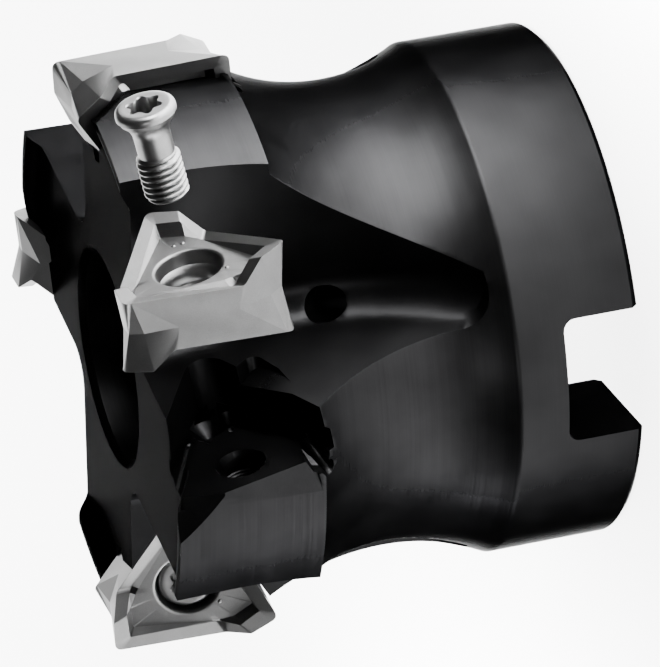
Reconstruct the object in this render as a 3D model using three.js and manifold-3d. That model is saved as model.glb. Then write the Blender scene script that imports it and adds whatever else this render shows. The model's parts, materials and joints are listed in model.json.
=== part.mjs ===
// Indexable face mill, 50 mm cutting diameter, for a 22 mm arbor.
// Millimetres, +Z along the spindle axis towards the cutting end, origin in the mounting face.
// The tooth along +X is shown with its insert and screw lifted out of the pocket along the screw axis.
import * as THREE from 'three';
import { mergeVertices } from 'three/addons/utils/BufferGeometryUtils.js';
import Module from 'manifold-3d';

const wasm = await Module();
wasm.setup();

// ---- driving dimensions: the cutter as a whole ----
const TEETH = 4;
const CUTTING_RADIUS = 25; // over the insert noses
const CUTTER_HEIGHT = 40; // mounting face to insert noses
const COLLAR_RADIUS = 21;
const COLLAR_HEIGHT = 10;
const EDGE_BREAK = 0.5; // chamfer on the collar rim and the arbor bore
const NECK_ARC_RADIUS = 15.8;
const NECK_END_RADIUS = 22.6;
const LAND_START = 27; // where the tooth lands begin, above the mounting face
const LAND_RADIUS = 23.6;
const FACE_HEIGHT = 38; // main front face
const RIM_HEIGHT = 38.85; // raised outer rim of the teeth
const RIM_INNER_RADIUS = 19.6;
const RIM_FLAT_RADIUS = 22.9;

// ---- arbor seat ----
const BORE_RADIUS = 11; // 22 mm arbor
const BORE_DEPTH = 20;
const WEB_HOLE_RADIUS = 5.5; // clearance for an M10 arbor screw
const SCREW_RECESS_RADIUS = 8.5;
const SCREW_RECESS_CHAMFER = 0.55;
const SCREW_RECESS_FLOOR = 28;
const SLOT_WIDTH = 10.4; // drive slot across the mounting face
const SLOT_DEPTH = 6.3;
const SLOT_CORNER = 1; // chamfered root of the slot

// ---- insert: three corners a side, both sides alike ----
const FLANK = 4.85; // hole axis to each side face
const NOSE_V = 6.15; // nose beyond the middle of its side
const NOSE_HEIGHT = 3.33; // nose above the insert's middle plane
const FACE_LEVEL = 1.98; // seating face above the middle plane
const EDGE_END = { v: 3.15, w: 1.72 }; // low end of the sloping main edge
const WIPER = { u: 2.23, v: 6.19 }; // inner end of the short wiper edge
const WAIST = 0.05; // facet corners above and below the middle plane
const WAIST_V = 2.38;
const WAIST_CORNER = 7.04; // from the hole axis, on the corner's own axis of symmetry
const LAND_WIDTH = 1.15; // land behind the cutting edges, sloping inwards
const LAND_DROP = 0.27;
const CHIP_WALL = 0.48; // width of the wall between land and seating face
const INSERT_HOLE_MOUTH = 2.58;
const INSERT_HOLE_THROAT = 2.05;

// ---- insert screw ----
const SCREW_LENGTH = 8;
const SCREW_HEAD_RADIUS = 2.35;
const SCREW_WAIST_RADIUS = 1.42;
const SCREW_THREAD_RADIUS = 1.7;
const HEAD_TOP = 1.5; // head top above the insert's middle plane when tight
const SOCKET_RADIUS = 1.4;
const SOCKET_DEPTH = 1.3;
const LOBES = 6;

// ---- how an insert sits in the body ----
const SEAT_TILT = THREE.MathUtils.degToRad(9.5); // screw axis leans towards the cutting end
const SEAT_LEAN = THREE.MathUtils.degToRad(4.7); // and outwards
const SEAT_SPIN = THREE.MathUtils.degToRad(-2.6); // insert turned about the screw axis
const SEAT_CENTRE_Y = 0.1;
const SCREW_LEAN = THREE.MathUtils.degToRad(1.1); // so that it draws the insert against its walls
const FIT_GAP = 0.15; // insert to seat and walls
const THREAD_GAP = 0.2;
const THREAD_DEPTH = 5; // below the seat
const THREAD_MOUTH = 0.4; // countersink of the threaded hole
const CORNER_RELIEF = { u: -6.9, v: -0.3, radius: 2, mouth: 2.6, foot: 1.75, depth: 2.4 };
// groove and bevel that clear the low cutting edge along each side of the insert
const RELIEF_START_V = -4.5;
const RELIEF_END_V = 8;
const RELIEF_INNER = { u: 3.2, slope: -0.1 };
const RELIEF_FLOOR = { w: -2.35, slope: -0.1855 };
const RELIEF_BEVEL = 0.8;
const INSERT_LIFT = 13.9; // exploded insert above its seat
const SCREW_LIFT = 14.9; // exploded screw above its place in the insert

// ---- gullet: floor, root fillet and back wall, bending out through the neck ----
const GULLET_ORIGIN = { x: 20.15, y: 0.24, z: 33.55 };
const GULLET_RISE = THREE.MathUtils.degToRad(8.5); // floor leans towards the cutting end
const GULLET_TILT = THREE.MathUtils.degToRad(12.4); // and falls outwards
const GULLET_FLOOR = 1.85; // above the gullet origin
const GULLET_ROOT_RADIUS = 2.8;
const GULLET_WALL = 11.7; // back wall inboard of the gullet origin
const GULLET_BEND_START = 1.5; // behind the gullet origin
const GULLET_BEND_RADIUS = 32;
const GULLET_END = 22.9; // behind the gullet origin
const COOLANT_RADIUS = 1.5;
const COOLANT_ANGLE = THREE.MathUtils.degToRad(28.6);
const COOLANT_INNER = { r: 9, z: 18.2 };
const COOLANT_OUTER = { r: 15, z: 24.6 };

const BODY_SEGMENTS = 80;
const FAR = 30; // cutters reach well outside the body

// Solids

const solidOf = (geometry) => {
  const bare = geometry.clone();
  bare.deleteAttribute('normal');
  bare.deleteAttribute('uv');
  const merged = mergeVertices(bare, 1e-5);
  const triVerts = Uint32Array.from(merged.index.array);
  const vertProperties = Float32Array.from(merged.attributes.position.array);
  return new wasm.Manifold(new wasm.Mesh({ numProp: 3, vertProperties, triVerts }));
};

const geometryOf = (solid) => {
  const mesh = solid.getMesh();
  const geometry = new THREE.BufferGeometry();
  geometry.setAttribute('position', new THREE.BufferAttribute(mesh.vertProperties, 3));
  geometry.setIndex(new THREE.BufferAttribute(mesh.triVerts, 1));
  geometry.computeVertexNormals();
  return geometry;
};

const lathe = (profile, segments) => {
  const points = profile.map(([r, z]) => new THREE.Vector2(r, z));
  return new THREE.LatheGeometry(points, segments).rotateX(Math.PI / 2);
};

// A prism over a plane outline, from one height to another.
const prism = (outline, low, high) => {
  const shape = new THREE.Shape(outline.map(([x, y]) => new THREE.Vector2(x, y)));
  const depth = high - low;
  return new THREE.ExtrudeGeometry(shape, { depth, bevelEnabled: false }).translate(0, 0, low);
};

const arc = (cx, cy, radius, from, to, steps) =>
  Array.from({ length: steps + 1 }, (_, i) => {
    const angle = from + ((to - from) * i) / steps;
    return [cx + radius * Math.cos(angle), cy + radius * Math.sin(angle)];
  });

// Frames

// A milling frame: u outwards, v towards the mounting end, w up from the floor being milled.
const millingFrame = (rise, tilt, spin = 0) =>
  new THREE.Matrix4()
    .makeRotationX(rise - Math.PI / 2)
    .multiply(new THREE.Matrix4().makeRotationY(tilt))
    .multiply(new THREE.Matrix4().makeRotationZ(spin));

// The insert frame: its middle plane is w = 0 and the screw axis is the w axis.
const seatFrame = millingFrame(SEAT_TILT, SEAT_LEAN, SEAT_SPIN);
const noseOffset = new THREE.Vector3(FLANK, -NOSE_V, NOSE_HEIGHT).applyMatrix4(seatFrame);
seatFrame.setPosition(
  Math.sqrt(CUTTING_RADIUS ** 2 - (SEAT_CENTRE_Y + noseOffset.y) ** 2) - noseOffset.x,
  SEAT_CENTRE_Y,
  CUTTER_HEIGHT - noseOffset.z,
);
const screwFrame = seatFrame.clone().multiply(new THREE.Matrix4().makeRotationX(SCREW_LEAN));
const gulletFrame = millingFrame(GULLET_RISE, GULLET_TILT);
gulletFrame.setPosition(GULLET_ORIGIN.x, GULLET_ORIGIN.y, GULLET_ORIGIN.z);
const toothTurn = (k) => new THREE.Matrix4().makeRotationZ((k * 2 * Math.PI) / TEETH);

// Insert

const turned = ([u, v, w], i) => {
  const angle = (i * 2 * Math.PI) / 3;
  const c = Math.cos(angle);
  const s = Math.sin(angle);
  return [u * c - v * s, u * s + v * c, w];
};
const flipped = ([u, v, w]) => [u, -v, -w];

// Points of the top half at the corner with the nose at -v; turned() gives the other two corners.
const nose = [FLANK, -NOSE_V, NOSE_HEIGHT];
const wiper = [WIPER.u, -WIPER.v, NOSE_HEIGHT];
const edgeEnd = [FLANK, EDGE_END.v, EDGE_END.w];
const inward = ([u, v, w], step, drop) => {
  const scale = 1 - step / Math.hypot(u, v);
  return [u * scale, v * scale, w - drop];
};
const onFace = ([u, v], step) => [...inward([u, v, 0], step, 0).slice(0, 2), FACE_LEVEL];
const landNose = inward(nose, LAND_WIDTH * Math.SQRT2, LAND_DROP);
const landWiper = inward(wiper, LAND_WIDTH, LAND_DROP);
const landEnd = inward(edgeEnd, LAND_WIDTH, LAND_DROP);
const faceNose = onFace(landNose, CHIP_WALL);
const faceWiper = onFace(landWiper, CHIP_WALL);
const faceEnd = onFace(landEnd, CHIP_WALL);
// Facet corners under the end of the main edge, the wiper and the nose of the following corner.
const followingWiper = turned(wiper, 1);
const waistEnd = [FLANK, WAIST_V, -WAIST];
const waistWiper = [followingWiper[0], followingWiper[1], -WAIST];
const waistNose = [WAIST_CORNER / 2, (WAIST_CORNER * Math.sqrt(3)) / 2, 0];

const insertGeometry = () => {
  const points = [];
  const keep = (p) => points.push(...p);
  const triangle = (a, b, c) => [a, b, c].forEach(keep);
  const fan = (list) => {
    for (let i = 1; i < list.length - 1; i += 1) triangle(list[0], list[i], list[i + 1]);
  };
  // one third of the top half; the flip turns it into one third of the bottom half
  const third = (place) => {
    const at = (p, i = 0) => place(turned(p, i));
    const low = (p, i = 0) => place(flipped(turned(p, -i)));
    const outer = [at(edgeEnd, -1), at(wiper), at(nose), at(edgeEnd)];
    const land = [at(landEnd, -1), at(landWiper), at(landNose), at(landEnd)];
    const face = [at(faceEnd, -1), at(faceWiper), at(faceNose), at(faceEnd)];
    const middle = place([0, 0, FACE_LEVEL]);
    for (let i = 0; i < 3; i += 1) {
      fan([outer[i], outer[i + 1], land[i + 1], land[i]]);
      fan([land[i], land[i + 1], face[i + 1], face[i]]);
      triangle(middle, face[i], face[i + 1]);
    }
    // drop wall and wiper wall of the following corner
    fan([at(waistEnd), at(waistWiper), at(wiper, 1), at(edgeEnd)]);
    fan([at(waistWiper), at(waistNose), at(nose, 1), at(wiper, 1)]);
    // upper half of the side face, split along its middle line
    fan([at(nose), low(waistEnd), at(waistEnd), at(edgeEnd)]);
    // slanted facets under the nose
    fan([at(nose), low(waistNose), low(waistWiper), low(waistEnd)]);
  };
  for (let i = 0; i < 3; i += 1) {
    third((p) => turned(p, i));
    third((p) => flipped(turned(p, -i)));
  }
  const geometry = new THREE.BufferGeometry();
  geometry.setAttribute('position', new THREE.Float32BufferAttribute(points, 3));
  return geometry;
};

const insertHole = () => {
  const mouth = INSERT_HOLE_MOUTH;
  const throat = INSERT_HOLE_THROAT;
  const lower = [
    [0, -4],
    [mouth + 0.2, -4],
    [mouth + 0.2, -FACE_LEVEL],
    [mouth, -FACE_LEVEL + 0.2],
    [mouth, -0.95],
    [throat, -0.15],
  ];
  const upper = lower.map(([r, z]) => [r, -z]).reverse();
  return lathe([...lower, ...upper], 32);
};

const insertSolid = () => {
  const blank = insertGeometry();
  return solidOf(blank).subtract(solidOf(insertHole()));
};

// Screw, with its head top at w = 0 and its shank down

const screwBlank = () => {
  const thread = SCREW_THREAD_RADIUS;
  const waist = SCREW_WAIST_RADIUS;
  const head = SCREW_HEAD_RADIUS;
  return lathe([
    [0, -SCREW_LENGTH],
    [thread - 0.4, -SCREW_LENGTH],
    [thread, -SCREW_LENGTH + 0.4],
    [thread, -4.2],
    [waist, -3.7],
    [waist, -2.5],
    [waist + 0.3, -1.6],
    [head, -0.8],
    [head, -0.25],
    [head - 0.3, 0],
    [0, 0],
  ], 24);
};

const screwSocket = () => {
  const steps = 48;
  const outline = Array.from({ length: steps }, (_, i) => {
    const angle = (i * 2 * Math.PI) / steps;
    const radius = SOCKET_RADIUS * (0.88 + 0.12 * Math.cos(LOBES * angle));
    return [radius * Math.cos(angle), radius * Math.sin(angle)];
  });
  return prism(outline, -SOCKET_DEPTH, 1);
};

const screwSolid = () => solidOf(screwBlank()).subtract(solidOf(screwSocket()));

// Cutter body

const neckProfile = () => {
  const start = new THREE.Vector2(COLLAR_RADIUS, COLLAR_HEIGHT);
  const end = new THREE.Vector2(NECK_END_RADIUS, LAND_START);
  const middle = start.clone().add(end).multiplyScalar(0.5);
  const chord = end.clone().sub(start);
  const rise = Math.sqrt(NECK_ARC_RADIUS ** 2 - chord.lengthSq() / 4);
  const centre = middle.add(new THREE.Vector2(chord.y, -chord.x).normalize().multiplyScalar(rise));
  const from = start.clone().sub(centre).angle();
  const to = end.clone().sub(centre).angle();
  return arc(centre.x, centre.y, NECK_ARC_RADIUS, from, to, 12);
};

const bodyBlank = () => lathe([
  [BORE_RADIUS, EDGE_BREAK],
  [BORE_RADIUS + EDGE_BREAK, 0],
  [COLLAR_RADIUS - EDGE_BREAK, 0],
  [COLLAR_RADIUS, EDGE_BREAK],
  ...neckProfile(),
  [LAND_RADIUS, LAND_START],
  [LAND_RADIUS, RIM_HEIGHT],
  [RIM_FLAT_RADIUS, RIM_HEIGHT],
  [RIM_INNER_RADIUS, FACE_HEIGHT],
  [SCREW_RECESS_RADIUS + SCREW_RECESS_CHAMFER, FACE_HEIGHT],
  [SCREW_RECESS_RADIUS, FACE_HEIGHT - SCREW_RECESS_CHAMFER],
  [SCREW_RECESS_RADIUS, SCREW_RECESS_FLOOR],
  [WEB_HOLE_RADIUS, SCREW_RECESS_FLOOR],
  [WEB_HOLE_RADIUS, BORE_DEPTH],
  [BORE_RADIUS, BORE_DEPTH],
  [BORE_RADIUS, EDGE_BREAK],
], BODY_SEGMENTS);

const driveSlot = () => {
  const half = SLOT_WIDTH / 2;
  const outline = [
    [-half, -1],
    [half, -1],
    [half, SLOT_DEPTH - SLOT_CORNER],
    [half - SLOT_CORNER, SLOT_DEPTH],
    [-half + SLOT_CORNER, SLOT_DEPTH],
    [-half, SLOT_DEPTH - SLOT_CORNER],
  ];
  return prism(outline, -FAR, FAR).rotateX(Math.PI / 2).rotateZ(Math.PI / 2);
};

// Joins rings of equal length into a closed solid; each ring runs anticlockwise seen from the last.
const loft = (rings, caps) => {
  const count = rings[0].length;
  const index = [];
  for (let r = 0; r < rings.length - 1; r += 1) {
    for (let i = 0; i < count; i += 1) {
      const j = (i + 1) % count;
      const low = r * count;
      const high = low + count;
      index.push(low + i, low + j, high + j, low + i, high + j, high + i);
    }
  }
  const last = (rings.length - 1) * count;
  caps.forEach(([a, b, c]) => index.push(a, c, b, last + a, last + b, last + c));
  const geometry = new THREE.BufferGeometry();
  geometry.setAttribute('position', new THREE.Float32BufferAttribute(rings.flat(2), 3));
  geometry.setIndex(index);
  return geometry;
};

// Back wall of the gullet, moved outwards by shift, closed far outside the body.
const gulletOutline = (shift) => {
  const radius = GULLET_BEND_RADIUS - shift;
  const centre = GULLET_BEND_RADIUS - GULLET_WALL;
  const end = GULLET_END - shift;
  const sweep = Math.asin((end - GULLET_BEND_START) / radius);
  const bend = arc(centre, GULLET_BEND_START, radius, Math.PI, Math.PI - sweep, 12);
  return [[FAR, -FAR], [FAR, end], ...bend.reverse(), [-GULLET_WALL + shift, -FAR]];
};

const gulletCutter = () => {
  const root = GULLET_ROOT_RADIUS;
  const steps = 5;
  const layers = Array.from({ length: steps + 1 }, (_, i) => {
    const angle = (i * Math.PI) / 2 / steps;
    return [GULLET_FLOOR + root * (1 - Math.cos(angle)), root * (1 - Math.sin(angle))];
  });
  layers.push([FAR, 0]);
  const rings = layers.map(([w, shift]) => gulletOutline(shift).map(([u, v]) => [u, v, w]));
  const outline = gulletOutline(0).map(([u, v]) => new THREE.Vector2(u, v));
  const caps = THREE.ShapeUtils.triangulateShape(outline, []);
  return loft(rings, caps).applyMatrix4(gulletFrame);
};

// The two locating walls and the seat: a wedge open towards the outside.
const pocketCutter = () => {
  const corner = -2 * (FLANK + FIT_GAP);
  const outline = [
    [corner, 0],
    [corner + FAR * Math.cos(Math.PI / 6), -FAR / 2],
    [corner + FAR * Math.cos(Math.PI / 6), FAR / 2],
  ];
  return prism(outline, -FACE_LEVEL - FIT_GAP, FAR).applyMatrix4(seatFrame);
};

const reliefCutter = (side) => {
  const end = side === 1 ? RELIEF_END_V - 1.6 : RELIEF_END_V; // stops at the inner corner
  const ring = (v) => {
    const inner = RELIEF_INNER.u + RELIEF_INNER.slope * (v - RELIEF_START_V);
    const floor = RELIEF_FLOOR.w + RELIEF_FLOOR.slope * (v - RELIEF_START_V);
    const outer = side ? FLANK + 2 * FIT_GAP : FLANK + 5;
    const seat = -FACE_LEVEL - FIT_GAP;
    return [
      [inner, v, seat + 0.3],
      [inner, v, seat],
      [inner + RELIEF_BEVEL, v, floor],
      [outer, v, floor],
      [outer, v, seat + 0.3],
    ];
  };
  const rings = [ring(end), ring(RELIEF_START_V)];
  const caps = [[0, 1, 4], [1, 2, 4], [2, 3, 4]];
  return loft(rings, caps).rotateZ((side * 2 * Math.PI) / 3).applyMatrix4(seatFrame);
};

// Drilled relief under a low corner of the insert: inner, rear and front.
const cornerRelief = (corner) => {
  const { u, v, radius, mouth, foot, depth } = CORNER_RELIEF;
  const seat = -FACE_LEVEL - FIT_GAP;
  const profile = [
    [0, seat - depth],
    [foot, seat - depth + 0.7],
    [mouth, seat],
    [radius, seat + 0.5],
    [radius, FAR],
    [0, FAR],
  ];
  return lathe(profile, 24)
    .translate(u, v, 0)
    .rotateZ((-corner * 2 * Math.PI) / 3)
    .applyMatrix4(seatFrame);
};

const threadedHole = () => {
  const seat = -FACE_LEVEL - FIT_GAP;
  const radius = SCREW_THREAD_RADIUS + THREAD_GAP;
  const mouth = radius + THREAD_MOUTH;
  return lathe([
    [0, seat - THREAD_DEPTH],
    [radius, seat - THREAD_DEPTH],
    [radius, seat - THREAD_MOUTH],
    [mouth, seat],
    [mouth, seat + 1],
    [0, seat + 1],
  ], 24).applyMatrix4(screwFrame);
};

const coolantHole = () => {
  const point = ({ r, z }) => new THREE.Vector3(r * Math.cos(COOLANT_ANGLE), r * Math.sin(COOLANT_ANGLE), z);
  const from = point(COOLANT_INNER);
  const to = point(COOLANT_OUTER);
  const length = from.distanceTo(to);
  const turn = new THREE.Quaternion().setFromUnitVectors(
    new THREE.Vector3(0, 0, 1),
    to.clone().sub(from).normalize(),
  );
  const radius = COOLANT_RADIUS;
  return lathe([[0, 0], [radius, 0], [radius, length], [0, length]], 16)
    .applyQuaternion(turn)
    .translate(from.x, from.y, from.z);
};

const bodySolid = () => {
  const cutters = [
    gulletCutter(),
    pocketCutter(),
    reliefCutter(0),
    reliefCutter(1),
    reliefCutter(2),
    cornerRelief(0),
    cornerRelief(1),
    cornerRelief(2),
    threadedHole(),
    coolantHole(),
  ];
  let body = solidOf(bodyBlank()).subtract(solidOf(driveSlot()));
  for (let k = 0; k < TEETH; k += 1) {
    cutters.forEach((cutter) => {
      body = body.subtract(solidOf(cutter.clone().applyMatrix4(toothTurn(k))));
    });
  }
  return body;
};

// Assembly

const materials = {
  body: new THREE.MeshStandardMaterial({ color: 0x1c1b1a, roughness: 0.45, metalness: 0.6 }),
  carbide: new THREE.MeshStandardMaterial({ color: 0x8a8a88, roughness: 0.38, metalness: 0.9 }),
  screw: new THREE.MeshStandardMaterial({ color: 0x9b9a96, roughness: 0.3, metalness: 1 }),
};

const face_mill = new THREE.Group();
face_mill.name = 'face_mill';

const addNode = (name, geometry, material) => {
  const mesh = new THREE.Mesh(geometry, material);
  mesh.name = name;
  face_mill.add(mesh);
};

addNode('cutter_body', geometryOf(bodySolid()), materials.body);

const insert = geometryOf(insertSolid());
const screw = geometryOf(screwSolid());
for (let k = 0; k < TEETH; k += 1) {
  const lift = k === 0 ? INSERT_LIFT : 0;
  const screwLift = k === 0 ? INSERT_LIFT + SCREW_LIFT : 0;
  const rise = new THREE.Vector3(0, -Math.sin(SCREW_LEAN), Math.cos(SCREW_LEAN)).multiplyScalar(lift);
  const seatPlace = toothTurn(k).multiply(seatFrame);
  const screwPlace = toothTurn(k).multiply(screwFrame);
  const headTop = HEAD_TOP + screwLift;
  addNode(
    `insert_${k + 1}`,
    insert.clone().translate(rise.x, rise.y, rise.z).applyMatrix4(seatPlace),
    materials.carbide,
  );
  addNode(
    `insert_screw_${k + 1}`,
    screw.clone().translate(0, 0, headTop).applyMatrix4(screwPlace),
    materials.screw,
  );
}

export default face_mill;
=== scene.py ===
"""Indexable face mill with four double-sided inserts, one of them shown above its pocket."""

import json
import math

import bmesh
import bpy
from mathutils import Matrix, Vector

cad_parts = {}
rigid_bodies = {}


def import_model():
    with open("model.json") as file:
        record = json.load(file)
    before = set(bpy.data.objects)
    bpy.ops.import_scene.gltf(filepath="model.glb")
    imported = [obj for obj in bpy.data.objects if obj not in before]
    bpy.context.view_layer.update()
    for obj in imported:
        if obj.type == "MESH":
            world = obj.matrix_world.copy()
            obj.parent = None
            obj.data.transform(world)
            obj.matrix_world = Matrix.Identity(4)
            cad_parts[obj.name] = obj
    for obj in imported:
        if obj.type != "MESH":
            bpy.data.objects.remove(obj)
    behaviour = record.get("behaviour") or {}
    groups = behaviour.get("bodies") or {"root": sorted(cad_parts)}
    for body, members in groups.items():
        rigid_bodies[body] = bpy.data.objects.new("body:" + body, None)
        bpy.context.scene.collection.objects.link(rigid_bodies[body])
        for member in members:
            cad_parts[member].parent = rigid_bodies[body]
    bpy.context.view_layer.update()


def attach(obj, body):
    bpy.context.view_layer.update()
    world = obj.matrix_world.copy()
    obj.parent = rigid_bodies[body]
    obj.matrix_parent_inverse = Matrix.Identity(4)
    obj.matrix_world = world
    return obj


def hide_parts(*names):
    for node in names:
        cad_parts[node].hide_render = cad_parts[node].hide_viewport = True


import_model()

# All shapes are built in millimetres and scaled to metres when finished.
MM = 0.001
TEETH = 4
FAR = 30.0

# ---- cutter body ----
COLLAR_RADIUS = 21.0
COLLAR_HEIGHT = 10.0
NECK_ARC_RADIUS = 15.8
NECK_END_RADIUS = 22.6
LAND_START = 27.0
LAND_RADIUS = 23.5
FACE_HEIGHT = 38.0
RIM_HEIGHT = 38.8
RIM_INNER_RADIUS = 20.6
RIM_FLAT_RADIUS = 22.9
BORE_RADIUS = 11.0
BORE_DEPTH = 20.0
WEB_HOLE_RADIUS = 5.5
RECESS_RADIUS = 8.5
RECESS_FLOOR = 28.0
SLOT_WIDTH = 10.4
SLOT_DEPTH = 6.3
BODY_SEGMENTS = 360
COLLAR_CHAMFER = 0.5
RECESS_CHAMFER = 0.55
WEB_CHAMFER = 0.3
SLOT_CORNER = 1.0
EDGE_BREAK = 0.11
BODY_CREASE = 28
BODY_SMOOTHING = 30
WELD_DISTANCE = 0.004
FLAT_ANGLE = 0.4

# ---- gullet ----
GULLET_ORIGIN = (20.15, 0.24, 33.55)
GULLET_RISE = math.radians(8.5)
GULLET_TILT = math.radians(12.4)
GULLET_FLOOR = 1.85
GULLET_ROOT = 2.8
GULLET_WALL = 11.7
GULLET_BEND_START = 1.5
GULLET_BEND = 32.0
GULLET_END = 22.9

# ---- seat ----
SEAT_TILT = math.radians(9.5)
SEAT_LEAN = math.radians(4.7)
SEAT_SPIN = math.radians(-2.6)
SEAT_Y = 0.1
SCREW_LEAN = math.radians(1.1)
CUTTING_RADIUS = 25.0
CUTTER_HEIGHT = 40.0
SEAT_LEVEL = -2.08
WALL_GAP = 0.1
INNER_CORNER = 1.8
# relief along the foot of each locating wall: (distance along it, height of its top)
UNDERCUT_ENDS = ((-7.2, -1.5), (9.0, 0.3))
UNDERCUT_INNER = 0.6
UNDERCUT_OUTER = 0.55
UNDERCUT_FOOT = 0.3
# the rear wall above the narrow band that touches the insert
BAND_HEIGHT = 1.72
BAND_CLIMB = 0.155
BAND_SLOPE = 0.35
BAND_TOP = 5
# reliefs in the seat: position, radius, radius at the foot, depth
INNER_RELIEF = (-6.75, -0.9, 1.7, 0.5, 1.5)
INNER_CLEARANCE = (-7.75, 1.1, 0.9, 0.7, 1.6)
RELIEF_TOP = 0.6
# paths of a ball-nosed cutter: start, end, radius
REAR_GROOVE = ((-0.64, 5.6, -2.1), (6.7, 8.0, -6.85), 0.55)
FRONT_GROOVE = ((-5.3, -2.75, -2.1), (2.2, -6.1, -2.4), 0.45)
DIMPLE = ((-5.25, 0.62, -2.05), (-5.25, 0.62, -1.0), 0.3)
GROOVE_SEGMENTS = 24
# threaded hole under the seat
HOLE_DEPTH = 5
HOLE_CLEARANCE = 0.05
HOLE_MOUTH = 0.25
HOLE_MOUTH_DEPTH = 0.5
THREAD_GROOVES = 12
THREAD_GROOVE_STEP = 0.28
THREAD_GROOVE_DEPTH = 0.15
THREAD_GROOVE_BASE = 4.9
THREAD_GROOVE_TOP = 1.5
# size of the seated insert's clearance, for its outer and its inner faces
CLEARANCE_SCALES = (1.01, 0.995)

# ---- insert ----
FLANK = 4.85
NOSE_V = 6.15
NOSE_HEIGHT = 3.33
NOSE_RADIUS = 0.65
FACE_LEVEL = 1.98
WIPER = (2.23, -6.19, NOSE_HEIGHT)
EDGE_END = (FLANK, 3.15, 1.72)
WAIST = 0.05
WAIST_V = 2.38
WAIST_CORNER = 7.04
LAND_WIDTH = 1.15
LAND_DROP = 0.27
CHIP_WALL = 0.48
INSERT_EDGE = 0.05
INSERT_CREASE = 14
INSERT_SMOOTHING = 20
INSERT_HOLE_RIM = 2.58
INSERT_HOLE_WALL = 2.5
INSERT_HOLE_THROAT = 2.06
RIM_ROUNDING = 0.25
DOT_PLACES = ((-3.85, -0.21), (-3.85, 0.52), (1.74, 2.62))
DOT_RADIUS = 0.22
DOT_SINK = 0.12
INSERT_LIFT = 13.9

# ---- insert screw ----
SCREW_LIFT = 14.9
HEAD_TOP = 1.5
HEAD_RADIUS = 2.35
WAIST_RADIUS = 1.42
THREAD_RADIUS = 1.7
THREAD_PITCH = 0.5
SCREW_LENGTH = 8.0
SOCKET_RADIUS = 1.4
SOCKET_DEPTH = 1.8
SOCKET_STEPS = 96
SOCKET_FLARE = 1.08
HEAD_FLARE = 1.9
HEAD_ROUNDING = 0.45
SHANK_INSET = 0.3
SHANK_TOP = -4.1
WAIST_TOP = -2.6
RIDGE_HEIGHT = 0.31
SCREW_SMOOTHING = 35

# ---- coolant outlets ----
COOLANT_ANGLE = math.radians(28.6)
COOLANT_RADIUS = 1.5
# (radius, height) of its two ends
COOLANT_START = (9, 18.2)
COOLANT_END = (15, 24.6)


def rotation(angle, axis):
    return Matrix.Rotation(angle, 4, axis)


def milling_frame(rise, tilt, spin=0.0):
    """u outwards, v towards the mounting end, w up from the floor being milled."""
    return rotation(rise - math.pi / 2, "X") @ rotation(tilt, "Y") @ rotation(spin, "Z")


def tooth_turn(k):
    return rotation(k * math.tau / TEETH, "Z")


SEAT = milling_frame(SEAT_TILT, SEAT_LEAN, SEAT_SPIN)
nose_offset = SEAT @ Vector((FLANK, -NOSE_V, NOSE_HEIGHT))
SEAT.translation = (
    math.sqrt(CUTTING_RADIUS**2 - (SEAT_Y + nose_offset.y) ** 2) - nose_offset.x,
    SEAT_Y,
    CUTTER_HEIGHT - nose_offset.z,
)
SCREW_AXIS = SEAT @ rotation(SCREW_LEAN, "X")
GULLET = milling_frame(GULLET_RISE, GULLET_TILT)
GULLET.translation = GULLET_ORIGIN


# ---------------------------------------------------------------- mesh helpers


def new_object(name, points, faces, place=None):
    place = place or Matrix.Identity(4)
    mesh = bpy.data.meshes.new(name)
    mesh.from_pydata([place @ Vector(p) for p in points], [], faces)
    work = bmesh.new()
    work.from_mesh(mesh)
    bmesh.ops.recalc_face_normals(work, faces=work.faces)
    work.to_mesh(mesh)
    work.free()
    obj = bpy.data.objects.new(name, mesh)
    bpy.context.scene.collection.objects.link(obj)
    return obj


def lathe(name, profile, segments, place=None):
    """Closed profile of (radius, height) turned round Z."""
    points, rings = [], []
    for radius, z in profile:
        if radius < 1e-6:
            rings.append([len(points)] * segments)
            points.append((0, 0, z))
            continue
        rings.append(range(len(points), len(points) + segments))
        for i in range(segments):
            angle = i * math.tau / segments
            points.append((radius * math.cos(angle), radius * math.sin(angle), z))
    faces = []
    for k in range(len(rings)):
        low, high = rings[k], rings[(k + 1) % len(rings)]
        for i in range(segments):
            j = (i + 1) % segments
            face = list(dict.fromkeys((low[i], low[j], high[j], high[i])))
            if len(face) > 2:
                faces.append(face)
    return new_object(name, points, faces, place)


def loft(name, rings, place=None):
    """Rings of equal length joined into a closed solid with flat ends."""
    count = len(rings[0])
    points = [p for ring in rings for p in ring]
    faces = [list(range(count)), list(range(len(points) - count, len(points)))]
    for r in range(len(rings) - 1):
        low, high = r * count, (r + 1) * count
        for i in range(count):
            j = (i + 1) % count
            faces.append((low + i, low + j, high + j, high + i))
    return new_object(name, points, faces, place)


def prism(name, outline, low, high, place=None):
    return loft(name, [[(x, y, z) for x, y in outline] for z in (low, high)], place)


def arc(cx, cy, radius, start, end, steps):
    angles = [start + (end - start) * i / steps for i in range(steps + 1)]
    return [(cx + radius * math.cos(a), cy + radius * math.sin(a)) for a in angles]


def capsule(name, start, end, radius, place):
    """Path of a ball-nosed cutter between two points."""
    start, end = Vector(start), Vector(end)
    length = (end - start).length
    profile = [(radius * math.sin(a), -radius * math.cos(a)) for a in quarter(0)]
    profile += [(radius * math.sin(a), length - radius * math.cos(a)) for a in quarter(1)]
    turn = (end - start).to_track_quat("Z", "X").to_matrix().to_4x4()
    return lathe(name, profile, GROOVE_SEGMENTS, place @ Matrix.Translation(start) @ turn)


def quarter(n, steps=6):
    return [(n + i / steps) * math.pi / 2 for i in range(steps + 1)]


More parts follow.
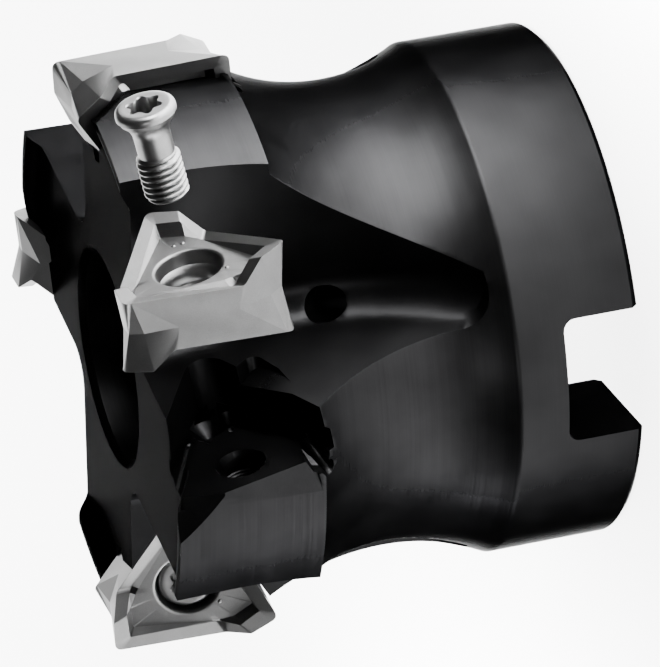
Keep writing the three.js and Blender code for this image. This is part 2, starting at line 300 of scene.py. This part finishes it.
def bake(obj):
    evaluated = obj.evaluated_get(bpy.context.evaluated_depsgraph_get())
    mesh = bpy.data.meshes.new_from_object(evaluated)
    old = obj.data
    obj.modifiers.clear()
    obj.data = mesh
    bpy.data.meshes.remove(old)


def combine(target, tool, operation="DIFFERENCE", keep=False):
    modifier = target.modifiers.new(operation, "BOOLEAN")
    modifier.operation = operation
    modifier.solver = "MANIFOLD"
    modifier.object = tool
    bake(target)
    if not keep:
        mesh = tool.data
        bpy.data.objects.remove(tool)
        bpy.data.meshes.remove(mesh)
    return target


def clean(obj):
    work = bmesh.new()
    work.from_mesh(obj.data)
    bmesh.ops.remove_doubles(work, verts=work.verts, dist=WELD_DISTANCE)
    bmesh.ops.dissolve_degenerate(work, dist=WELD_DISTANCE / 2, edges=work.edges)
    bmesh.ops.dissolve_limit(
        work, angle_limit=math.radians(FLAT_ANGLE), verts=work.verts, edges=work.edges
    )
    work.to_mesh(obj.data)
    work.free()


def round_edges(obj, width, angle):
    modifier = obj.modifiers.new("edges", "BEVEL")
    modifier.width = width
    modifier.segments = 2
    modifier.limit_method = "ANGLE"
    modifier.angle_limit = math.radians(angle)
    modifier.use_clamp_overlap = True
    modifier.miter_outer = "MITER_ARC"
    bake(obj)


def finish_mesh(obj, angle):
    """Smooth shading with crisp edges, then millimetres to metres."""
    obj.data.shade_smooth()
    obj.data.set_sharp_from_angle(angle=math.radians(angle))
    modifier = obj.modifiers.new("normals", "WEIGHTED_NORMAL")
    modifier.keep_sharp = True
    modifier.weight = 60
    obj.data.transform(Matrix.Scale(MM, 4))
    bake(obj)
    return obj


# ---------------------------------------------------------------- cutter body


def neck_profile():
    start = Vector((COLLAR_RADIUS, COLLAR_HEIGHT))
    end = Vector((NECK_END_RADIUS, LAND_START))
    chord = end - start
    rise = math.sqrt(NECK_ARC_RADIUS**2 - chord.length_squared / 4)
    centre = (start + end) / 2 + Vector((chord.y, -chord.x)).normalized() * rise
    a, b = (math.atan2((p - centre).y, (p - centre).x) % math.tau for p in (start, end))
    return arc(centre.x, centre.y, NECK_ARC_RADIUS, a, b, 40)


def body_blank():
    profile = [
        (BORE_RADIUS, COLLAR_CHAMFER),
        (BORE_RADIUS + COLLAR_CHAMFER, 0),
        (COLLAR_RADIUS - COLLAR_CHAMFER, 0),
        (COLLAR_RADIUS, COLLAR_CHAMFER),
        *neck_profile(),
        (LAND_RADIUS, LAND_START + 0.05),
        (LAND_RADIUS, RIM_HEIGHT),
        (RIM_FLAT_RADIUS, RIM_HEIGHT),
        *[
            (RIM_FLAT_RADIUS + (RIM_INNER_RADIUS - RIM_FLAT_RADIUS) * t,
             FACE_HEIGHT + (RIM_HEIGHT - FACE_HEIGHT) * (1 + math.cos(math.pi * t)) / 2)
            for t in (0.15, 0.3, 0.45, 0.6, 0.75, 0.9)
        ],
        (RIM_INNER_RADIUS, FACE_HEIGHT),
        (RECESS_RADIUS + RECESS_CHAMFER, FACE_HEIGHT),
        (RECESS_RADIUS, FACE_HEIGHT - RECESS_CHAMFER),
        (RECESS_RADIUS, RECESS_FLOOR),
        (WEB_HOLE_RADIUS + WEB_CHAMFER, RECESS_FLOOR),
        (WEB_HOLE_RADIUS, RECESS_FLOOR - WEB_CHAMFER),
        (WEB_HOLE_RADIUS, BORE_DEPTH),
        (BORE_RADIUS, BORE_DEPTH),
    ]
    return lathe("cutter_body_steel", profile, BODY_SEGMENTS)


def drive_slot():
    half = SLOT_WIDTH / 2
    fillet = arc(half - SLOT_CORNER, SLOT_DEPTH - SLOT_CORNER, SLOT_CORNER, 0, math.pi / 2, 4)
    outline = [(-half, -1), (half, -1), *fillet, *[(-x, y) for x, y in reversed(fillet)]]
    across = rotation(math.pi / 2, "Z") @ rotation(math.pi / 2, "X")
    return prism("slot", outline, -FAR, FAR, across)


def gullet_outline(shift):
    radius = GULLET_BEND - shift
    centre = GULLET_BEND - GULLET_WALL
    end = GULLET_END - shift
    sweep = math.asin((end - GULLET_BEND_START) / radius)
    bend = arc(centre, GULLET_BEND_START, radius, math.pi, math.pi - sweep, 28)
    return [(FAR, -FAR), (FAR, end), *reversed(bend), (-GULLET_WALL + shift, -FAR)]


def gullet():
    layers = [
        (GULLET_FLOOR + GULLET_ROOT * (1 - math.cos(a)), GULLET_ROOT * (1 - math.sin(a)))
        for a in quarter(0, 12)
    ]
    layers.append((FAR, 0))
    rings = [[(u, v, w) for u, v in gullet_outline(shift)] for w, shift in layers]
    return loft("gullet", rings, GULLET)


def pocket():
    """The seat and the two locating walls, which meet in a rounded inner corner."""
    corner = -2 * (FLANK + WALL_GAP)
    reach = FAR * math.cos(math.pi / 6)
    rounded = arc(
        corner + 2 * INNER_CORNER, 0, INNER_CORNER, math.pi * 2 / 3, math.pi * 4 / 3, 10
    )
    outline = [(corner + reach, FAR / 2), *rounded, (corner + reach, -FAR / 2)]
    return prism("pocket", outline, SEAT_LEVEL, FAR, SEAT)


def undercut(side):
    """Relief under the band of the locating wall that touches the insert."""
    distance = FLANK + WALL_GAP
    rings = []
    for along, top in UNDERCUT_ENDS:
        section = (
            (distance - UNDERCUT_INNER, SEAT_LEVEL - UNDERCUT_FOOT),
            (distance + UNDERCUT_OUTER, SEAT_LEVEL - UNDERCUT_FOOT),
            (distance + UNDERCUT_OUTER, top - 0.5),
            (distance - UNDERCUT_INNER, top + 0.55),
        )
        rings.append([(along, side * across, w) for across, w in section])
    return loft("undercut", rings, SEAT @ rotation(side * math.pi / 6, "Z"))


def wall_recess():
    """Clears the rear locating wall above the narrow band that touches the insert."""
    distance = FLANK + WALL_GAP
    outline = [(6.0, -1.5), (6.0, 0.02), (1.0, 1.0), (-1.0, 1.7)]
    outline += arc(-3.1, 1.0, 0.9, math.pi * 0.4, math.pi, 8)
    outline += [(-4.0, -1.5)]

    def level(along, across, rise):
        slope = BAND_HEIGHT + BAND_CLIMB * along + BAND_SLOPE * across
        return slope + rise * (BAND_TOP - BAND_CLIMB * along)

    rings = [
        [(along, distance + across, level(along, across, rise)) for along, across in outline]
        for rise in (0.0, 1.0)
    ]
    return loft("wall_recess", rings, SEAT @ rotation(math.pi / 6, "Z"))


def cone(name, u, v, radius, foot, depth):
    """Drilled relief in the seat."""
    profile = [
        (0, -depth),
        (foot, -depth + 0.15),
        (radius, 0),
        (radius, RELIEF_TOP),
        (0, RELIEF_TOP),
    ]
    return lathe(name, profile, 40, SEAT @ Matrix.Translation((u, v, SEAT_LEVEL)))


def rear_channel():
    """Falls from the rear of the seat to the land, under the low corner of the insert."""
    inner = [
        (4.85, SEAT_LEVEL),
        (5.0, SEAT_LEVEL - 0.02),
        (5.15, SEAT_LEVEL + 0.08),
        (5.15, 0.3),
        (4.85, 0.3),
    ]
    outer = [(4.7, SEAT_LEVEL), (7.9, -7.0), (9.7, -3.9), (9.7, 0.3), (4.7, 0.3)]
    rings = [[(u, v, w) for v, w in ring] for u, ring in ((-0.9, inner), (7.0, outer))]
    return loft("channel", rings, SEAT)


def threaded_hole():
    radius = THREAD_RADIUS + HOLE_CLEARANCE
    profile = [
        (0, SEAT_LEVEL - HOLE_DEPTH),
        (radius, SEAT_LEVEL - HOLE_DEPTH),
        (radius, SEAT_LEVEL - HOLE_MOUTH_DEPTH),
        (radius + HOLE_MOUTH, SEAT_LEVEL),
        (radius + HOLE_MOUTH, SEAT_LEVEL + 1),
        (0, SEAT_LEVEL + 1),
    ]
    return lathe("hole", profile, 48, SCREW_AXIS)


def thread_grooves():
    radius = THREAD_RADIUS
    profile = [(0, SEAT_LEVEL - THREAD_GROOVE_BASE)]
    for i in range(THREAD_GROOVES):
        z = SEAT_LEVEL - THREAD_GROOVE_BASE + i * THREAD_GROOVE_STEP
        profile += [(radius, z), (radius + THREAD_GROOVE_DEPTH, z + THREAD_GROOVE_STEP / 2)]
    profile += [(radius, SEAT_LEVEL - THREAD_GROOVE_TOP), (0, SEAT_LEVEL - THREAD_GROOVE_TOP)]
    return lathe("grooves", profile, 48, SCREW_AXIS)


def coolant_hole():
    def point(r, z):
        return Vector((r * math.cos(COOLANT_ANGLE), r * math.sin(COOLANT_ANGLE), z))

    start, end = point(*COOLANT_START), point(*COOLANT_END)
    turn = (end - start).to_track_quat("Z", "X").to_matrix().to_4x4()
    length = (end - start).length
    profile = [(0, 0), (COOLANT_RADIUS, 0), (COOLANT_RADIUS, length), (0, length)]
    return lathe("coolant", profile, 40, Matrix.Translation(start) @ turn)


def seat_edge_facets():
    """Two ground facets along the outer edge of the seat, widest at its two ends."""
    middle = (3.45, -2.2, SEAT_LEVEL)
    rear, rear_foot = (2.75, 4.9, SEAT_LEVEL), (3.1, 5.3, -4.1)
    front, front_foot = (2.2, -5.2, SEAT_LEVEL), (3.1, -6.3, -5.0)
    return [
        half_space("rear_facet", middle, rear, rear_foot, (-2.2, 5.3)),
        half_space("front_facet", middle, front, front_foot, (-9, -2.2)),
    ]


def half_space(name, a, b, c, span):
    """Everything outside the plane through three points, over a span of v."""
    a, b, c = Vector(a), Vector(b), Vector(c)
    normal = (b - a).cross(c - a).normalized()
    if normal.x < 0:
        normal = -normal

    def edge(v, w):
        return a.x - (normal.y * (v - a.y) + normal.z * (w - a.z)) / normal.x

    rings = []
    for v in span:
        rings.append([(edge(v, w), v, w) for w in (-8, 1.5)] + [(12, v, 1.5), (12, v, -8)])
    return loft(name, rings, SEAT)


def nose_clearance(scale):
    """Room in the body for the noses of a seated insert."""
    obj = insert_blank()
    obj.data.transform(SEAT @ Matrix.Scale(scale, 4))
    return obj


def body():
    tools = [
        gullet(),
        pocket(),
        undercut(1),
        undercut(-1),
        cone("inner_relief", *INNER_RELIEF),
        cone("inner_clearance", *INNER_CLEARANCE),
        rear_channel(),
        threaded_hole(),
        coolant_hole(),
        *seat_edge_facets(),
        capsule("rear_groove", *REAR_GROOVE, SEAT),
        capsule("front_groove", *FRONT_GROOVE, SEAT),
        wall_recess(),
        capsule("dimple", *DIMPLE, SEAT),
    ]
    obj = combine(body_blank(), drive_slot())
    tool = tools[0]
    for other in tools[1:]:
        combine(tool, other, "UNION")
    for k in range(TEETH):
        tool.matrix_world = tooth_turn(k)
        bpy.context.view_layer.update()
        combine(obj, tool, keep=k < TEETH - 1)
    clean(obj)
    round_edges(obj, EDGE_BREAK, BODY_CREASE)
    for k in range(TEETH):
        for tool in (thread_grooves(), *(nose_clearance(scale) for scale in CLEARANCE_SCALES)):
            tool.data.transform(tooth_turn(k))
            combine(obj, tool)
    return obj


# ---------------------------------------------------------------- insert


def turned(p, i):
    c, s = math.cos(i * math.tau / 3), math.sin(i * math.tau / 3)
    return (p[0] * c - p[1] * s, p[0] * s + p[1] * c, p[2])


def flipped(p):
    return (p[0], -p[1], -p[2])


def inward(p, step, drop):
    scale = 1 - step / math.hypot(p[0], p[1])
    return (p[0] * scale, p[1] * scale, p[2] - drop)


def on_face(p, step):
    q = inward(p, step, 0)
    return (q[0], q[1], FACE_LEVEL)


def corner_arc(before, corner, after, reach, steps):
    """Points rounding a corner, from reach before it to reach after it."""
    before, corner, after = Vector(before), Vector(corner), Vector(after)
    a = corner + (before - corner).normalized() * reach
    b = corner + (after - corner).normalized() * reach
    return [
        tuple((1 - t) ** 2 * a + 2 * t * (1 - t) * corner + t * t * b)
        for t in (i / steps for i in range(steps + 1))
    ]


NOSE = (FLANK, -NOSE_V, NOSE_HEIGHT)
LAND_NOSE = inward(NOSE, LAND_WIDTH * math.sqrt(2), LAND_DROP)
LAND_WIPER = inward(WIPER, LAND_WIDTH, LAND_DROP)
LAND_END = inward(EDGE_END, LAND_WIDTH, LAND_DROP)
FACE_NOSE = on_face(LAND_NOSE, CHIP_WALL)
FACE_WIPER = on_face(LAND_WIPER, CHIP_WALL)
FACE_END = on_face(LAND_END, CHIP_WALL)
WAIST_END = (FLANK, WAIST_V, -WAIST)
NEXT_WIPER = turned(WIPER, 1)
WAIST_WIPER = (NEXT_WIPER[0], NEXT_WIPER[1], -WAIST)
WAIST_NOSE = (WAIST_CORNER / 2, WAIST_CORNER * math.sqrt(3) / 2, 0)

ROUNDINGS = ((0.3, 0.32, 0.3), (0.12, 0.12, 0.12), (NOSE_RADIUS, 0.12, 0.1))
ROUND_STEPS = (4, 2, 6)


def ring_arcs(end, wiper, nose, level):
    """The roundings of one third of a closed line: low end, wiper end and nose."""
    start, finish = turned(end, -1), end
    previous_nose = turned(nose, -1)
    lines = ((previous_nose, start, wiper), (start, wiper, nose), (wiper, nose, finish))
    return [
        corner_arc(a, b, c, ROUNDINGS[i][level], ROUND_STEPS[i])
        for i, (a, b, c) in enumerate(lines)
    ]


def insert_blank():
    points, faces = [], []
    outer = ring_arcs(EDGE_END, WIPER, NOSE, 0)
    land = ring_arcs(LAND_END, LAND_WIPER, LAND_NOSE, 1)
    face = ring_arcs(FACE_END, FACE_WIPER, FACE_NOSE, 2)

    def add(polygon):
        faces.append(list(range(len(points), len(points) + len(polygon))))
        points.extend(polygon)

    def fan(apex, line):
        for a, b in zip(line, line[1:]):
            add([apex, a, b])

    def third(place):
        def at(line, i=0):
            return [place(turned(p, i)) for p in line]

        def low(p, i=0):
            return place(flipped(turned(p, -i)))

        def line(ring):
            joined = [p for part in ring for p in part]
            return at(joined) + at(ring[0], 1)[:1]

        outer_line, land_line, face_line = line(outer), line(land), line(face)
        for upper, lower in ((outer_line, land_line), (land_line, face_line)):
            for i in range(len(upper) - 1):
                add([upper[i], upper[i + 1], lower[i + 1], lower[i]])
        fan(place((0, 0, FACE_LEVEL)), face_line)
        # the side faces, from the cutting edges down to the waist
        end, wiper, nose = outer
        waist_end, waist_wiper, waist_nose = at([WAIST_END, WAIST_WIPER, WAIST_NOSE])
        fan(waist_end, at(end, 1))
        add([waist_end, at(end, 1)[-1], at(wiper, 1)[0], waist_wiper])
        fan(waist_wiper, at(wiper, 1))
        add([waist_wiper, at(wiper, 1)[-1], at(nose, 1)[0], waist_nose])
        add([at(nose)[-1], at(end, 1)[0], waist_end, low(WAIST_END)])
        nose_line = at(nose)
        fan(low(WAIST_NOSE), nose_line)
        add([nose_line[-1], low(WAIST_WIPER), low(WAIST_NOSE)])
        add([nose_line[-1], low(WAIST_END), low(WAIST_WIPER)])

    for i in range(3):
        third(lambda p, i=i: turned(p, i))
        third(lambda p, i=i: flipped(turned(p, -i)))
    obj = new_object("insert_blank", points, faces)
    work = bmesh.new()
    work.from_mesh(obj.data)
    bmesh.ops.remove_doubles(work, verts=work.verts, dist=0.002)
    bmesh.ops.dissolve_degenerate(work, dist=0.001, edges=work.edges)
    bmesh.ops.recalc_face_normals(work, faces=work.faces)
    work.to_mesh(obj.data)
    work.free()
    return obj


def insert_hole():
    rim, bend = INSERT_HOLE_RIM, RIM_ROUNDING
    lower = [(0, -5), (rim + 0.3, -5), (rim + 0.3, -FACE_LEVEL)]
    lower += [
        (rim + bend - bend * math.sin(a), -FACE_LEVEL + bend - bend * math.cos(a))
        for a in quarter(0)
    ][1:]
    lower += [(INSERT_HOLE_WALL, -1.15)]
    # one rounded throat, wide enough to clear the screw head
    lower += [
        (INSERT_HOLE_THROAT + 0.75 * (1 - math.cos(a)), 0.9 * math.sin(a))
        for a in (math.radians(-65 + i * 6.2) for i in range(11))
    ]
    upper = [(r, -z) for r, z in reversed(lower)]
    return lathe("insert_hole", [*lower, *upper], 96)


def insert_mesh():
    obj = insert_blank()
    round_edges(obj, INSERT_EDGE, INSERT_CREASE)
    combine(obj, insert_hole())
    dome = [(DOT_RADIUS * math.cos(a), DOT_RADIUS * math.sin(a)) for a in quarter(0, 5)]
    profile = [(0, -0.3), (DOT_RADIUS, -0.3), *dome]
    for u, v in DOT_PLACES:
        for side in (1, -1):
            facing = Matrix.Identity(4) if side > 0 else rotation(math.pi, "X")
            place = Matrix.Translation((u, v * side, side * (FACE_LEVEL - DOT_SINK)))
            combine(obj, lathe("dot", profile, 20, place @ facing), "UNION")
    return obj


# ---------------------------------------------------------------- insert screw


def screw_mesh():
    """Head top at height 0, shank down."""
    head = HEAD_RADIUS
    profile = [
        (0, -SCREW_LENGTH),
        (THREAD_RADIUS - 0.45, -SCREW_LENGTH),
        (THREAD_RADIUS - SHANK_INSET, -SCREW_LENGTH + 0.15),
        (THREAD_RADIUS - SHANK_INSET, SHANK_TOP),
        (WAIST_RADIUS, -3.8),
        (WAIST_RADIUS, WAIST_TOP),
        *arc(WAIST_RADIUS + HEAD_FLARE, WAIST_TOP, HEAD_FLARE, math.pi, math.pi * 0.72, 8)[1:],
        (head - 0.12, -0.86),
        (head, -0.72),
        (head, -0.5),
        *arc(head - HEAD_ROUNDING, -HEAD_ROUNDING, HEAD_ROUNDING, 0, math.pi / 2, 5)[1:],
        (head - 0.75, -0.02),
        (0, 0),
    ]
    profile = [
        p for i, p in enumerate(profile)
        if i == 0 or (Vector(p) - Vector(profile[i - 1])).length > 1e-4
    ]
    obj = lathe("screw", profile, 64)
    outline = []
    for i in range(SOCKET_STEPS):
        angle = i * math.tau / SOCKET_STEPS
        radius = SOCKET_RADIUS * (0.86 + 0.14 * math.cos(6 * angle))
        outline.append((radius * math.cos(angle), radius * math.sin(angle)))
    wide = [(x * SOCKET_FLARE, y * SOCKET_FLARE) for x, y in outline]
    rings = [
        [(x, y, -SOCKET_DEPTH) for x, y in outline],
        [(x, y, -0.12) for x, y in outline],
        [(x, y, 0.0) for x, y in wide],
        [(x, y, 0.5) for x, y in wide],
    ]
    combine(obj, loft("socket", rings))
    combine(obj, thread(), "UNION")
    return obj


def thread():
    """Helical ridge round the shank, fading out at both ends."""
    low, high = -SCREW_LENGTH + 0.1, -4.15
    around, per_turn = 64, 10
    root = THREAD_RADIUS - RIDGE_HEIGHT
    rows = round((high - low) / THREAD_PITCH * per_turn)
    points, faces = [], []
    for j in range(rows + 1):
        z = low + (high - low) * j / rows
        for i in range(around):
            phase = (z / THREAD_PITCH - i / around) % 1.0
            height = min(1.0, max(0.0, 1.35 - 2.7 * abs(phase - 0.5)))
            fade = min(1.0, (z - low) / 0.35 + 0.1, (high - z) / 0.4 + 0.05)
            radius = root + 0.02 + RIDGE_HEIGHT * height * fade
            angle = i * math.tau / around
            points.append((radius * math.cos(angle), radius * math.sin(angle), z))
    faces.append(list(range(around)))
    faces.append(list(range(rows * around, (rows + 1) * around)))
    for j in range(rows):
        for i in range(around):
            k = (i + 1) % around
            low_row, high_row = j * around, (j + 1) * around
            faces.append((low_row + i, low_row + k, high_row + k, high_row + i))
    return new_object("thread", points, faces)


# ---------------------------------------------------------------- materials


class Nodes:
    """Small helper for building a material's nodes."""

    def __init__(self, name):
        self.material = bpy.data.materials.new(name)
        self.material.use_nodes = True
        self.tree = self.material.node_tree
        self.shader = self.tree.nodes["Principled BSDF"]

    def add(self, kind, **settings):
        node = self.tree.nodes.new("ShaderNode" + kind)
        for key, value in settings.items():
            setattr(node, key, value)
        return node

    def link(self, source, target):
        self.tree.links.new(source, target)

    def set(self, **values):
        for key, value in values.items():
            self.shader.inputs[key.replace("_", " ")].default_value = value

    def position(self):
        return self.add("TexCoord").outputs["Object"]

    def noise(self, vector, scale, detail):
        node = self.add("TexNoise")
        node.inputs["Scale"].default_value = scale
        node.inputs["Detail"].default_value = detail
        node.inputs["Roughness"].default_value = 0.55
        self.link(vector, node.inputs["Vector"])
        return node.outputs["Fac"]

    def math(self, operation, a, b=None):
        node = self.add("Math", operation=operation)
        for socket, value in zip(node.inputs, (a, b)):
            if value is None:
                continue
            if isinstance(value, (int, float)):
                socket.default_value = value
            else:
                self.link(value, socket)
        return node.outputs[0]

    def ramp(self, fac, low, high, start=0.0, end=1.0):
        node = self.add("MapRange")
        limits = {"From Min": start, "From Max": end, "To Min": low, "To Max": high}
        for key, value in limits.items():
            node.inputs[key].default_value = value
        self.link(fac, node.inputs["Value"])
        return node.outputs["Result"]

    def colour(self, fac, dark, pale):
        node = self.add("Mix", data_type="RGBA")
        node.inputs["A"].default_value = (*dark, 1)
        node.inputs["B"].default_value = (*pale, 1)
        self.link(fac, node.inputs["Factor"])
        self.link(node.outputs["Result"], self.shader.inputs["Base Color"])

    def bump(self, height, strength, distance):
        node = self.add("Bump")
        node.inputs["Strength"].default_value = strength
        node.inputs["Distance"].default_value = distance
        self.link(height, node.inputs["Height"])
        self.link(node.outputs["Normal"], self.shader.inputs["Normal"])


def turned_coordinates(n):
    """Coordinates that repeat round the axis, so marks run round it: radius, height."""
    split = n.add("SeparateXYZ")
    n.link(n.position(), split.inputs[0])
    x, y, z = split.outputs
    radius = n.math("SQRT", n.math("ADD", n.math("MULTIPLY", x, x), n.math("MULTIPLY", y, y)))
    join = n.add("CombineXYZ")
    n.link(radius, join.inputs[0])
    n.link(z, join.inputs[2])
    return join.outputs[0]


def blackened_steel():
    n = Nodes("blackened_steel_finish")
    position = n.position()
    rings = n.noise(turned_coordinates(n), 9000, 2.0)
    mottle = n.noise(position, 260, 4.0)
    grain = n.noise(position, 9000, 2.0)
    mix = n.math("ADD", n.math("MULTIPLY", rings, 0.5), n.math("MULTIPLY", mottle, 0.5))
    patches = n.ramp(mix, 0.0, 1.0, 0.35, 0.65)
    n.colour(patches, (0.0068, 0.0068, 0.0070), (0.0105, 0.0105, 0.0108))
    n.link(n.ramp(mottle, 0.34, 0.38, 0.35, 0.65), n.shader.inputs["Roughness"])
    height = n.math("ADD", n.math("MULTIPLY", rings, 0.6), n.math("MULTIPLY", grain, 0.4))
    n.bump(height, 0.05, 0.00002)
    n.set(Metallic=1.0, Specular_Tint=(0.12, 0.12, 0.12, 1))
    return n.material


def coated_carbide():
    n = Nodes("coated_carbide_finish")
    position = n.position()
    grain = n.noise(position, 14000, 2.0)
    cloud = n.noise(position, 500, 3.0)
    mix = n.math("ADD", n.math("MULTIPLY", grain, 0.55), n.math("MULTIPLY", cloud, 0.45))
    patches = n.ramp(mix, 0.0, 1.0, 0.35, 0.65)
    n.colour(patches, (0.062, 0.062, 0.062), (0.082, 0.082, 0.082))
    n.link(n.ramp(grain, 0.33, 0.42, 0.3, 0.7), n.shader.inputs["Roughness"])
    n.bump(grain, 0.15, 0.00002)
    n.set(Metallic=1.0)
    return n.material


def screw_steel():
    n = Nodes("screw_steel_finish")
    position = n.position()
    rings = n.noise(position, 6000, 2.0)
    cloud = n.noise(position, 700, 3.0)
    patches = n.ramp(cloud, 0.0, 1.0, 0.35, 0.65)
    n.colour(patches, (0.12, 0.12, 0.12), (0.15, 0.15, 0.15))
    n.link(n.ramp(rings, 0.31, 0.36, 0.3, 0.7), n.shader.inputs["Roughness"])
    n.bump(rings, 0.01, 0.00001)
    n.set(Metallic=1.0)
    return n.material


def pale_floor():
    n = Nodes("floor_paper")
    cloud = n.noise(n.position(), 6, 2.0)
    n.colour(cloud, (0.86, 0.86, 0.86), (0.88, 0.88, 0.88))
    n.set(Roughness=0.9)
    return n.material


def dress(obj, finish):
    obj.data.materials.clear()
    obj.data.materials.append(finish)


# ---------------------------------------------------------------- assembly

STEEL, CARBIDE, SCREW = blackened_steel(), coated_carbide(), screw_steel()

cutter = finish_mesh(body(), BODY_SMOOTHING)
dress(cutter, STEEL)
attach(cutter, "cutter_body")
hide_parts("cutter_body")

insert_master = insert_mesh()
screw_master = screw_mesh()
for k in range(TEETH):
    number = k + 1
    insert_lift = INSERT_LIFT if k == 0 else 0
    screw_lift = HEAD_TOP + (INSERT_LIFT + SCREW_LIFT if k == 0 else 0)
    rise = Vector((0, -math.sin(SCREW_LEAN), math.cos(SCREW_LEAN))) * insert_lift
    insert_place = SEAT @ Matrix.Translation(rise)
    screw_place = SCREW_AXIS @ Matrix.Translation((0, 0, screw_lift))
    for master, name, place, finish, slot, smoothing in (
        (insert_master, "insert", insert_place, CARBIDE, "coated_carbide", INSERT_SMOOTHING),
        (screw_master, "insert_screw", screw_place, SCREW, "screw_steel", SCREW_SMOOTHING),
    ):
        mesh = master.data.copy()
        mesh.transform(tooth_turn(k) @ place)
        piece = bpy.data.objects.new(f"{name}_{number}_piece", mesh)
        bpy.context.scene.collection.objects.link(piece)
        finish_mesh(piece, smoothing)
        dress(piece, finish)
        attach(piece, f"{name}_{number}")
        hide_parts(f"{name}_{number}")
for master in (insert_master, screw_master):
    bpy.data.objects.remove(master)

# ---------------------------------------------------------------- stage

FLOOR = 6
corners = [(-FLOOR, -FLOOR, 0), (FLOOR, -FLOOR, 0), (FLOOR, FLOOR, 0), (-FLOOR, FLOOR, 0)]
floor = new_object("floor", corners, [(0, 1, 2, 3)])
floor.data.materials.append(pale_floor())

# The lights aim here. Those on the object light only the object, and those on the floor only the
# floor, where the main one casts no shadow, so that the open end of the drive slot stays clear.
TARGET = Vector((-3.6, -3.1, 18.5)) * MM
# name, direction of the light from the object, distance, size, power
OBJECT_LIGHTS = (
    ("key", (0.15, 0.97, -0.03), 0.6, (0.46, 0.34), 23.0),
    ("side", (0.95, -0.18, 0.3), 0.8, (0.1, 0.1), 1.0),
    ("low", (0.15, -0.97, 0.05), 0.6, (0.22, 0.2), 6.0),
    ("back", (-0.88, -0.40, 0.34), 0.8, (0.9, 0.5), 7.0),
    ("overhead", (-0.38, -0.6, 0.7), 0.8, (0.4, 0.4), 3.0),
)
FLOOR_WASHES = (("floor_wash", 125.0, False), ("floor_shade", 25.0, True))
WASH_PLACE = Vector((-450, -200, 1000)) * MM
FLOOR_GLOWS = ((1, 3.6), (-1, 1.6))
GLOW_SPREAD = 60
SKY_STRENGTH = 0.05

pieces_lit = bpy.data.collections.new("lit_object")
floor_lit = bpy.data.collections.new("lit_floor")
for obj in bpy.context.scene.objects:
    if obj.type == "MESH":
        (floor_lit if obj == floor else pieces_lit).objects.link(obj)


def area_light(name, lit, direction, distance, size, power):
    light = bpy.data.lights.new(name, "AREA")
    light.shape = "RECTANGLE"
    light.size, light.size_y = size
    light.energy = power
    obj = bpy.data.objects.new(name, light)
    obj.location = TARGET + Vector(direction).normalized() * distance
    obj.rotation_euler = (-Vector(direction)).to_track_quat("-Z", "Y").to_euler()
    obj.light_linking.receiver_collection = lit
    bpy.context.scene.collection.objects.link(obj)
    return obj


for light in OBJECT_LIGHTS:
    area_light(light[0], pieces_lit, *light[1:])
for name, power, casts_shadow in FLOOR_WASHES:
    wash = area_light(name, floor_lit, (0, 0, 1), 1.0, (1.0, 1.0), power)
    wash.location = WASH_PLACE
    if not casts_shadow:
        wash.light_linking.blocker_collection = floor_lit
for side, power in FLOOR_GLOWS:
    glow = area_light("floor_glow", floor_lit, (0, 0, 1), 0.15, (0.12, 0.1), power)
    glow.location = Vector((15, side * 130, 150)) * MM
    glow.data.spread = math.radians(GLOW_SPREAD)

world = bpy.data.worlds.new("studio")
world.use_nodes = True
sky = world.node_tree.nodes["Background"]
sky.inputs["Color"].default_value = (1, 1, 1, 1)
sky.inputs["Strength"].default_value = SKY_STRENGTH
bpy.context.scene.world = world

camera_data = bpy.data.cameras.new("camera")
camera_data.sensor_width = 36
camera_data.lens = 313.04
camera_data.clip_start = 0.01
camera_data.clip_end = 100
camera = bpy.data.objects.new("camera", camera_data)
right = Vector((0.2924, -0.0657, -0.9540))
down = Vector((0.3623, -0.9157, 0.1740))
forward = Vector((-0.8850, -0.3966, -0.2440))
camera_place = Matrix.Translation(Vector((414.96, 184.49, 133.90)) * MM)
camera.matrix_world = camera_place @ Matrix((right, -down, -forward)).transposed().to_4x4()
bpy.context.scene.collection.objects.link(camera)
bpy.context.scene.camera = camera
